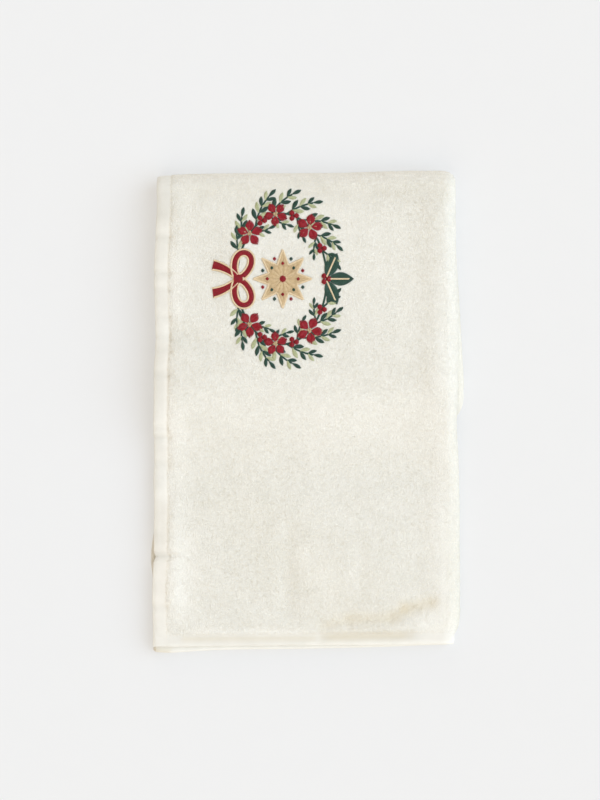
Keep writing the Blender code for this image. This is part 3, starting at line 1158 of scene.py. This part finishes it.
def star():
    """A tan star whose rays are split along their middle, edged in cream."""
    half_step = 180.0 / STAR_RAYS
    corner_at = STAR_CORNER * math.cos(math.radians(half_step))
    corner_out = STAR_CORNER * math.sin(math.radians(half_step))
    stitches = []
    edge = []
    for ray in range(STAR_RAYS):
        angle = 90.0 + 2 * half_step * ray
        line = curved_line(STAR_CENTRE, angle, STAR_REACH, 0.0)
        reach = np.linalg.norm(line - STAR_CENTRE, axis=1)
        rising = corner_out * reach / corner_at
        falling = corner_out * (STAR_REACH - reach) / (STAR_REACH - corner_at)
        half = np.maximum(np.minimum(rising, falling), 0.0)
        stitches += split_satin(TAN, line, half, STAR_SLANT, LIFTS["star"])
        edge.append(STAR_CENTRE + heading(angle) * STAR_REACH)
        edge.append(STAR_CENTRE + heading(angle + half_step) * STAR_CORNER)
    edge.append(edge[0])
    for start, end in zip(edge[:-1], edge[1:]):
        stitches += stem(CREAM, even_line(np.array((start, end))), STAR_EDGE, LIFTS["star edge"])
    return stitches


def star_dots():
    """Red and green dots in turn, between the star's rays and on them, and a red dot at its heart."""
    step = 360.0 / STAR_RAYS
    stitches = []
    for dot in range(STAR_RAYS):
        thread = (RED, GREEN)[dot % 2]
        outer = STAR_CENTRE + heading(step / 2 + step * dot) * OUTER_DOT_OUT
        inner = STAR_CENTRE + heading(step * dot) * INNER_DOT_OUT
        stitches += knot(thread, outer, OUTER_DOT, LIFTS["outer dot"])
        stitches += knot(thread, inner, INNER_DOT, LIFTS["inner dot"])
    return stitches + knot(RED, STAR_CENTRE, STAR_HEART, LIFTS["star heart"])


# The bow: its ribbon's width from start to end, the slant of its satin and the width of its edges' cord
BOW_CENTRE = np.array((0.0, -25.5))
TAIL_WIDTHS = (3.0, 5.6)
LOOP_WIDTHS = (3.8, 3.8)
RIBBON_SLANT = 0.8
RIBBON_CORD = 0.8
# A tail: where it starts, how far out it heads and how much it turns back, in degrees
TAIL_START = (1.2, -1.0)
TAIL_OUT = 44.0
TAIL_BACK = 34.0
TAIL_LENGTH = 15.5
# A loop: its middle, half length and half height, how much fuller its far end is, and its rise in radians
LOOP_MIDDLE = 8.4
LOOP_HALF_LENGTH = 7.4
LOOP_HALF_HEIGHT = 4.6
LOOP_FULLER = 0.22
LOOP_RISE = 0.30
LOOP_POINTS = 200
BOW_KNOT_HEIGHT = 4.8
BOW_KNOT_HALF_WIDTH = 2.3


def edged_ribbon(line, widths, lift):
    """A red ribbon of satin laid across its line, with a cream cord along both edges."""
    half = np.linspace(*widths, len(line)) / 2
    stitches = satin(RED, line, half, half, RIBBON_SLANT, lift=lift)
    for side in (1, -1):
        edge = even_line(line + leftward(line) * half[:, None] * side)
        stitches += stem(CREAM, edge, RIBBON_CORD, lift + LIFTS["ribbon edge"])
    return stitches


def bow_loop(side):
    """The line of a bow's loop, an oval that is fuller at its far end and rises toward it."""
    angles = np.radians(np.linspace(0.0, 360.0, LOOP_POINTS) + 180.0)
    x = LOOP_MIDDLE + LOOP_HALF_LENGTH * np.cos(angles)
    y = LOOP_HALF_HEIGHT * np.sin(angles) * (1.0 + LOOP_FULLER * np.cos(angles))
    across = x * math.cos(LOOP_RISE) - y * math.sin(LOOP_RISE)
    up = x * math.sin(LOOP_RISE) + y * math.cos(LOOP_RISE)
    return even_line(np.stack((across * side, up), axis=1) + BOW_CENTRE)


def bow():
    """A red ribbon bow with cream edges: two loops, two tails and a knot."""
    stitches = []
    for side in (1, -1):
        start = BOW_CENTRE + np.array(TAIL_START) * (side, 1.0)
        tail = curved_line(start, 270.0 + side * TAIL_OUT, TAIL_LENGTH, -side * TAIL_BACK)
        stitches += edged_ribbon(tail, TAIL_WIDTHS, LIFTS["bow tail"])
        stitches += edged_ribbon(bow_loop(side), LOOP_WIDTHS, LIFTS["bow loop"])
    foot = BOW_CENTRE - (0.0, BOW_KNOT_HALF_WIDTH)
    middle = curved_line(foot, 90.0, BOW_KNOT_HEIGHT, 0.0)
    half = BOW_KNOT_HALF_WIDTH
    return stitches + satin(RED, middle, half, half, arch=RAISED_ARCH, lift=LIFTS["bow knot"])


# Sprigs of the wreath: where on the ring in degrees, which way out of it, and how they grow
SPRIGS = make_table(
    "at lean length bend pairs leaf_length",
    (-70, 30, 13, 16, 2, 6.4),
    (-56, 46, 15, 30, 3, 6.6),
    (-36, 36, 19, 34, 4, 6.8),
    (-15, 40, 18, 34, 3, 6.8),
    (6, 44, 17, 26, 3, 6.6),
    (26, 40, 18, 26, 4, 6.6),
    (47, 44, 14, 26, 3, 6.2),
    (64, 36, 11, 16, 2, 5.6),
    (-44, -60, 10.5, -30, 2, 5.4),
    (-16, -62, 11, -24, 2, 5.4),
    (20, -60, 11, -26, 2, 5.4),
    (50, -48, 9.5, -20, 2, 5),
)
# The ring that everything grows on
RING_HALF_WIDTH = 38.0
RING_HALF_HEIGHT = 26.0
RING_STEM = 1.0
RING_POINTS = 400
# Flowers and berries at both sides of the ring: where in degrees, how big, and where the first part points
ON_RING = make_table(
    "motif at size turn",
    (flower, 38, 8, 10),
    (flower, -8, 7.2, 40),
    (flower, -46, 7.8, 0),
    (berries, 15, 1.4, 90),
    (berries, -27, 1.4, 90),
    (berries, 62, 1.4, 90),
)
# The crown at its head: which way its leaves point, how far out they start, the length and width of a
# leaf and of its vein, where a leaf is fullest and the radius of a berry
CROWN_CENTRE = np.array((0.0, 25.5))
CROWN_ANGLES = (24.0, 156.0, 90.0)
CROWN_START = 1.2
CROWN_LEAF = (15.0, 7.6)
CROWN_FULLEST = 0.5
CROWN_VEIN = (12.5, 0.7)
CROWN_BERRY = 1.5


def ring_place(at):
    """A place on the wreath's ring and the direction along it, by the angle from its centre."""
    angle = math.radians(at)
    place = np.array((RING_HALF_WIDTH * math.cos(angle), RING_HALF_HEIGHT * math.sin(angle)))
    along = math.degrees(math.atan2(RING_HALF_HEIGHT * math.cos(angle), -RING_HALF_WIDTH * math.sin(angle)))
    return place, along


def wreath_sprigs():
    """Sprigs that grow up both sides of the ring from its foot."""
    stitches = []
    for row in SPRIGS:
        place, along = ring_place(row.at)
        for side in (1, -1):
            start = place * (side, 1.0)
            angle = along - row.lean if side == 1 else 180.0 - (along - row.lean)
            stitches += sprig(start, angle, row.length, side * row.bend, row.pairs, row.leaf_length)
    return stitches


def crown_leaves():
    """Three broad green leaves with cream veins at the head of the wreath."""
    stitches = []
    for angle in CROWN_ANGLES:
        start = CROWN_CENTRE + heading(angle) * CROWN_START
        length, width = CROWN_VEIN
        vein = curved_line(start, angle, length, 0.0)
        stitches += veined_leaf(GREEN, start, angle, *CROWN_LEAF, CROWN_FULLEST, LIFTS["crown leaf"])
        stitches += stem(CREAM, vein, width, LIFTS["crown vein"])
    return stitches


def draw_design():
    """All stitches of the wreath, from the ring up to what lies on it."""
    angles = np.radians(np.linspace(0.0, 360.0, RING_POINTS))
    oval = np.stack((RING_HALF_WIDTH * np.cos(angles), RING_HALF_HEIGHT * np.sin(angles)), axis=1)
    stitches = stem(GREEN, even_line(oval), RING_STEM)
    stitches += wreath_sprigs() + crown_leaves() + star() + star_dots()
    for row in ON_RING:
        place = ring_place(row.at)[0]
        stitches += row.motif(place, row.size, row.turn)
        stitches += row.motif(place * (-1.0, 1.0), row.size, 180.0 - row.turn)
    return stitches + berries(CROWN_CENTRE, CROWN_BERRY, 90.0) + bow()


# ---- laying the design on the towel
LIFT_OFF_CLOTH = 0.00008
NORMAL_STEP = 0.2 * MM


def top_place(x, along):
    """Face A of the top level, along the cloth: along is Y up to the turn and runs on round it."""
    y = np.minimum(along, turn_axis(x))
    drop = blend((under_edge(x, LEVEL_4) - y) / SLOPE_LENGTH)
    flat_z = STACK_HEIGHT + RAISED * (1.0 - drop) + swell(x, y)
    radius = TURN_RADIUS + STACK_HEIGHT
    angle = np.maximum(along - turn_axis(x), 0.0) / radius
    return np.stack((x, y + radius * np.sin(angle), flat_z - radius * (1.0 - np.cos(angle))), axis=-1)


def on_towel(points, shift):
    """Places and outward directions on the towel of points of the upright design, in mm."""
    x = (DESIGN_CENTRE[0] + points[:, 1]) * MM
    along = (DESIGN_CENTRE[1] - points[:, 0]) * MM
    place = top_place(x, along)
    out = np.cross(top_place(x + NORMAL_STEP, along) - place, top_place(x, along + NORMAL_STEP) - place)
    out /= np.linalg.norm(out, axis=1, keepdims=True)
    return place + shift, out


def lines_mesh(name, points, out, arch):
    """A mesh of separate edges, two points each, with the way out of the cloth and the height to arch to."""
    mesh = bpy.data.meshes.new(name)
    pairs = np.arange(len(points)).reshape(-1, 2)
    mesh.from_pydata(points.tolist(), pairs.tolist(), [])
    set_attribute(mesh, "out", "FLOAT_VECTOR", out)
    set_attribute(mesh, "arch", "FLOAT", arch)
    return mesh


def stitch_lines(name, stitches, shift):
    """The edges that the stitches follow on the towel."""
    ends = np.array([point for stitch in stitches for point in (stitch.start, stitch.end)])
    places, out = on_towel(ends, shift)
    lift = np.repeat([stitch.lift for stitch in stitches], 2) * MM + LIFT_OFF_CLOTH
    arch = np.repeat([stitch.arch for stitch in stitches], 2) * MM
    return lines_mesh(name, places + out * lift[:, None], out, arch)


def make_embroidery(stitches, shift, materials):
    """One piece for each colour of thread."""
    tree = thread_tree()
    pieces = []
    for thread in THREADS:
        own = [stitch for stitch in stitches if stitch.thread == thread]
        lines = stitch_lines("embroidery_" + thread.split("_")[0], own, shift)
        piece = grow(lines.name, lines, tree, {"Material": materials[thread]})
        pieces.append(piece)
    return pieces


def make_pile(cloth, stitches, shift, materials):
    """The pile of the upper panel's near and far half, and of the folds at its sides."""
    tree = pile_tree()
    guide = new_object("stitch_guide", stitch_lines("stitch_guide", stitches, shift))
    pieces = []
    for region in ("pile_near", "pile_far", "pile_folds"):
        values = {"Stitch Lines": guide, "Grown On": region, "Material": materials["velour"]}
        piece = grow(region, cloth.data, tree, values)
        pieces.append(piece)
    bpy.data.objects.remove(guide)
    return pieces


# ---- the sewing of the hems
def seam_lines(faces):
    """A mesh of the four sewing lines, in the grooves of the hems on face A."""
    groove = EDGE_STEPS + BAND_STEPS + len(GROOVE_STEPS) // 2
    out = faces["a"] - faces["b"]
    out /= np.linalg.norm(out, axis=2, keepdims=True)
    across = slice(groove, -groove - 1)
    rows = ((groove, across), (-groove - 1, across), (across, groove), (across, -groove - 1))
    mesh = bpy.data.meshes.new("hem_stitches")
    sinks = (SIDE_SEAM_SINK, SIDE_SEAM_SINK, END_SEAM_SINK, END_SEAM_SINK)
    points = [faces["a"][row] - out[row] * sink for row, sink in zip(rows, sinks)]
    starts = np.concatenate(((0,), np.cumsum([len(line) for line in points])))
    edges = [(i, i + 1) for first, last in zip(starts[:-1], starts[1:]) for i in range(first, last - 1)]
    mesh.from_pydata(np.concatenate(points).tolist(), edges, [])
    set_attribute(mesh, "out", "FLOAT_VECTOR", np.concatenate([out[row] for row in rows]))
    return mesh


def make_seams(faces, materials):
    piece = grow("hem_stitches", seam_lines(faces), seam_tree(), {"Material": materials["sewing_thread"]})
    return piece


# ---- materials
# Linear colours
IVORY = (0.98, 0.972, 0.892)
IVORY_SHADE = (0.82, 0.80, 0.698)
# The colour of painted warm shade, in creases and grooves
IVORY_WARM_SHADE = (0.78, 0.67, 0.43)
SHEEN_TINT = (1.0, 0.98, 0.93)
GROUND = (0.90, 0.90, 0.835)
GROUND_SHADE = (0.695, 0.697, 0.635)
FLOOR_SHADE = (0.405, 0.415, 0.413)
FLOOR_LIGHT = (0.415, 0.425, 0.423)
FLOOR_GLOW = 0.425
# How much of the pile's light and shade comes from its clumps, its clouds and its marks of painted light and
# shade
CLUMP_SHARE = 0.60
CLOUD_SHARE = 0.20
PAINTED_LIGHT_SHARE = 0.26
SHADE_BELOW = 0.16
SHADE_ABOVE = 0.14
# The same for the ground
GROUND_CLOUDS = 0.5
GROUND_SHARE = 0.5
# The grains: how fine they are, for a metre, and how much detail they have
Grain = namedtuple("Grain", "scale detail roughness")
CLUMP_GRAIN = Grain(560.0, 3.0, 0.6)
CLOUD_GRAIN = Grain(60.0, 2.0, 0.5)
CREASE_GRAIN = Grain(260.0, 2.0, 0.5)
FUZZ_GRAIN = Grain(1500.0, 2.0, 0.7)
GROUND_GRAIN = Grain(120.0, 2.0, 0.5)
THREAD_GRAIN = Grain(900.0, 2.0, 0.6)
FLOOR_GRAIN = Grain(60.0, 3.0, 0.5)
WEAVE_TURNS = 2.0 * math.pi / 0.0009
WEAVE_HEIGHT = 0.4
# How strong a bump is, and how high
PILE_BUMP = (0.35, 0.0004)
GROUND_BUMP = (0.4, 0.0003)
# Where in its grain a thread is all dark, and where it is all light
THREAD_SHADES = (0.35, 0.65)
# A surface's roughness, gloss and down
Finish = namedtuple("Finish", "roughness specular sheen sheen_roughness")
PILE_FINISH = Finish(0.95, 0.15, 0.25, 0.55)
GROUND_FINISH = Finish(0.9, 0.2, 0.2, 0.5)
COTTON_FINISH = Finish(0.7, 0.4, 0.1, 0.4)
RAYON_FINISH = Finish(0.42, 0.4, 0.1, 0.4)
PAPER_FINISH = Finish(0.9, 0.1, 0.0, 0.5)
THREAD_COLOURS = {
    "sewing_thread": ((0.88, 0.86, 0.77), (0.80, 0.78, 0.68)),
    "green_thread": ((0.030, 0.090, 0.062), (0.018, 0.060, 0.042)),
    "sage_thread": ((0.56, 0.60, 0.37), (0.46, 0.50, 0.29)),
    "red_thread": ((0.36, 0.007, 0.020), (0.25, 0.004, 0.012)),
    "tan_thread": ((0.70, 0.55, 0.33), (0.60, 0.46, 0.26)),
    "cream_thread": ((0.82, 0.68, 0.46), (0.72, 0.58, 0.37)),
}


def new_material(name):
    """A material with its nodes, and its principled shader."""
    material = bpy.data.materials.new(name)
    material.use_nodes = True
    return material, material.node_tree, material.node_tree.nodes["Principled BSDF"]


def object_place(tree):
    return put(tree, "ShaderNodeTexCoord").outputs["Object"]


def stored(tree, name):
    """A value that the mesh stores at each place."""
    return put(tree, "ShaderNodeAttribute", attribute_name=name).outputs["Fac"]


def grain(tree, place, kind):
    return noise(tree, place, *kind).outputs["Fac"]


def raise_bump(tree, shader, height, strength_and_distance):
    strength, distance = strength_and_distance
    bump = put(tree, "ShaderNodeBump", {"Height": height, "Strength": strength, "Distance": distance})
    tree.links.new(bump.outputs["Normal"], shader.inputs["Normal"])


def set_finish(shader, finish):
    """Sets how rough, glossy and downy a surface is: the same all over, so on the shader's own sockets."""
    for name, value in zip(("Roughness", "Specular IOR Level", "Sheen Weight", "Sheen Roughness"), finish):
        shader.inputs[name].default_value = value


def between(tree, share, low, high):
    """Two colours, each given or already made by a node, mixed by a share."""
    mixed = put(tree, "ShaderNodeMix", {"Factor": share}, data_type="RGBA")
    for name, colour in (("A", low), ("B", high)):
        if isinstance(colour, bpy.types.NodeSocket):
            tree.links.new(colour, mixed.inputs[name])
        else:
            mixed.inputs[name].default_value = (*colour, 1.0)
    return mixed.outputs["Result"]


def clamp_range(tree, value, low, high):
    """A value stretched from low..high to 0..1."""
    limits = {"Value": value, "From Min": low, "From Max": high}
    return put(tree, "ShaderNodeMapRange", limits).outputs["Result"]


def velour_material():
    """Ivory sheared pile: soft clumps of light and shade, with a fine fuzz over them, and the painted light,
    shade and warm shade of the cloth's marks.
    """
    material, tree, shader = new_material("velour")
    place = object_place(tree)
    clumps = product(tree, grain(tree, place, CLUMP_GRAIN), CLUMP_SHARE)
    clouds = product(tree, grain(tree, place, CLOUD_GRAIN), CLOUD_SHARE)
    # Painted light and shade from the marks move the pile between its shade colour and its ivory
    share = total(tree, clumps, clouds, product(tree, stored(tree, "brushed"), PAINTED_LIGHT_SHARE))
    middle = (CLUMP_SHARE + CLOUD_SHARE) / 2
    share = clamp_range(tree, share, middle - SHADE_BELOW, middle + SHADE_ABOVE)
    # Painted warm shade from the marks, patchy
    patchy = product(tree, total(tree, grain(tree, place, CREASE_GRAIN), 0.5), stored(tree, "creased"))
    colour = between(tree, share, IVORY_SHADE, IVORY)
    colour = between(tree, clamp_range(tree, patchy, 0.0, 1.0), colour, IVORY_WARM_SHADE)
    tree.links.new(colour, shader.inputs["Base Color"])
    raise_bump(tree, shader, grain(tree, place, FUZZ_GRAIN), PILE_BUMP)
    set_finish(shader, PILE_FINISH)
    shader.inputs["Sheen Tint"].default_value = (*SHEEN_TINT, 1.0)
    return material


def cloth_material():
    """The ground of the velour, and on the hems its bare close weave, with the painted light, shade and warm
    shade of the cloth's marks.
    """
    material, tree, shader = new_material("towel_ground")
    place = object_place(tree)
    cloth_place = put(tree, "ShaderNodeUVMap", uv_map="cloth").outputs["UV"]
    split = put(tree, "ShaderNodeSeparateXYZ", {"Vector": cloth_place}).outputs
    warp, weft = (math_node(tree, "SINE", product(tree, split[axis], WEAVE_TURNS)) for axis in "XY")
    bare = math_node(tree, "SUBTRACT", 1.0, stored(tree, "velour"))
    weave = product(tree, warp, weft, bare, WEAVE_HEIGHT)
    raise_bump(tree, shader, total(tree, grain(tree, place, FUZZ_GRAIN), weave), GROUND_BUMP)
    clouds = product(tree, grain(tree, place, GROUND_GRAIN), GROUND_CLOUDS)
    # Painted light and shade from the marks move the bare ground between its two colours
    share = total(tree, clouds, product(tree, stored(tree, "brushed"), GROUND_SHARE))
    middle = GROUND_CLOUDS / 2
    colour = between(tree, clamp_range(tree, share, middle - 0.5, middle + 0.5), GROUND_SHADE, GROUND)
    # Painted warm shade from the marks
    crease = clamp_range(tree, stored(tree, "creased"), 0.0, 1.0)
    tree.links.new(between(tree, crease, colour, IVORY_WARM_SHADE), shader.inputs["Base Color"])
    set_finish(shader, GROUND_FINISH)
    return material


def thread_material(name, light, dark, finish):
    """Twisted thread: its colour wanders a little from stitch to stitch."""
    material, tree, shader = new_material(name)
    shade = clamp_range(tree, grain(tree, object_place(tree), THREAD_GRAIN), *THREAD_SHADES)
    tree.links.new(between(tree, shade, dark, light), shader.inputs["Base Color"])
    set_finish(shader, finish)
    return material


def floor_material():
    """Pale matt paper with hardly any grain, lit a little from below, as on a light table."""
    material, tree, shader = new_material("pale_floor")
    colour = between(tree, grain(tree, object_place(tree), FLOOR_GRAIN), FLOOR_SHADE, FLOOR_LIGHT)
    tree.links.new(colour, shader.inputs["Base Color"])
    shader.inputs["Emission Color"].default_value = (1.0, 1.0, 1.0, 1.0)
    shader.inputs["Emission Strength"].default_value = FLOOR_GLOW
    set_finish(shader, PAPER_FINISH)
    return material


def make_materials():
    materials = {"velour": velour_material(), "ground": cloth_material(), "floor": floor_material()}
    for name, (light, dark) in THREAD_COLOURS.items():
        finish = COTTON_FINISH if name == "sewing_thread" else RAYON_FINISH
        materials[name] = thread_material(name, light, dark, finish)
    return materials


# ---- floor, light and camera
CAMERA_HEIGHT = 1.25
FRAME_WIDTH = 0.3534
FRAME_LEVEL = 0.005
CAMERA_X = -0.00398
CAMERA_Y = 0.00692
SENSOR_WIDTH = 36.0
# Lamps, all far away: where they stand, how wide they look in degrees, their power and colour
LAMPS = make_table(
    "name place width power colour",
    ("key", (0.69, 0.05, 0.72), 68.0, 1.93, (0.84, 1.0, 1.22)),
    ("front", (-0.10, -0.68, 0.72), 50.0, 0.62, (1.15, 1.0, 0.84)),
    ("back", (-0.15, 0.90, 0.40), 40.0, 0.34, (1.15, 1.0, 0.84)),
)
ROOM_LOW = 0.605
ROOM_HIGH = 0.385
ROOM_COLOUR = (1.15, 1.0, 0.84)
FLOOR_REACH = 4.0


def make_floor(material):
    mesh = bpy.data.meshes.new("floor")
    corners = [(FLOOR_REACH * x, FLOOR_REACH * y, 0.0) for x, y in ((-1, -1), (1, -1), (1, 1), (-1, 1))]
    mesh.from_pydata(corners, [], [(0, 1, 2, 3)])
    mesh.materials.append(material)
    floor = new_object("floor", mesh)


def aim(thing, place, target):
    thing.location = place
    thing.rotation_euler = (Vector(target) - Vector(place)).to_track_quat("-Z", "Y").to_euler()
    bpy.context.scene.collection.objects.link(thing)


def make_lights():
    """A wide soft key from the right and two weak lamps, in a pale room that is brighter low down."""
    for row in LAMPS:
        lamp = bpy.data.lights.new(row.name, "SUN")
        lamp.angle = math.radians(row.width)
        lamp.energy = row.power
        lamp.color = row.colour
        aim(bpy.data.objects.new(row.name, lamp), row.place, (0.0, 0.0, 0.0))
    world = bpy.data.worlds.new("room")
    world.use_nodes = True
    tree = world.node_tree
    way = put(tree, "ShaderNodeTexCoord").outputs["Generated"]
    height = put(tree, "ShaderNodeSeparateXYZ", {"Vector": way}).outputs["Z"]
    graded = {"Value": height, "To Min": ROOM_LOW, "To Max": ROOM_HIGH}
    strength = put(tree, "ShaderNodeMapRange", graded).outputs["Result"]
    room = tree.nodes["Background"]
    room.inputs["Color"].default_value = (*ROOM_COLOUR, 1.0)
    tree.links.new(strength, room.inputs["Strength"])
    bpy.context.scene.world = world


def make_camera(shift):
    """Looks straight down at the towel, as the photograph does."""
    camera = bpy.data.cameras.new("camera")
    camera.sensor_fit = "HORIZONTAL"
    camera.sensor_width = SENSOR_WIDTH
    camera.lens = SENSOR_WIDTH * (CAMERA_HEIGHT - FRAME_LEVEL) / FRAME_WIDTH
    thing = bpy.data.objects.new("camera", camera)
    thing.location = (CAMERA_X + shift[0], CAMERA_Y + shift[1], CAMERA_HEIGHT)
    bpy.context.scene.collection.objects.link(thing)
    bpy.context.scene.camera = thing


# ---- the towel
def make_towel():
    materials = make_materials()
    cloth, faces, shift = make_cloth()
    cloth.data.materials.append(materials["ground"])
    stitches = draw_design()
    pieces = make_pile(cloth, stitches, shift, materials)
    pieces += make_embroidery(stitches, shift, materials)
    pieces.append(make_seams(faces, materials))
    for piece in [cloth] + pieces:
        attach(piece, "root")
    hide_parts("towel")
    make_floor(materials["floor"])
    make_lights()
    make_camera(shift)


make_towel()
bpy.context.scene.view_settings.view_transform = "Standard"
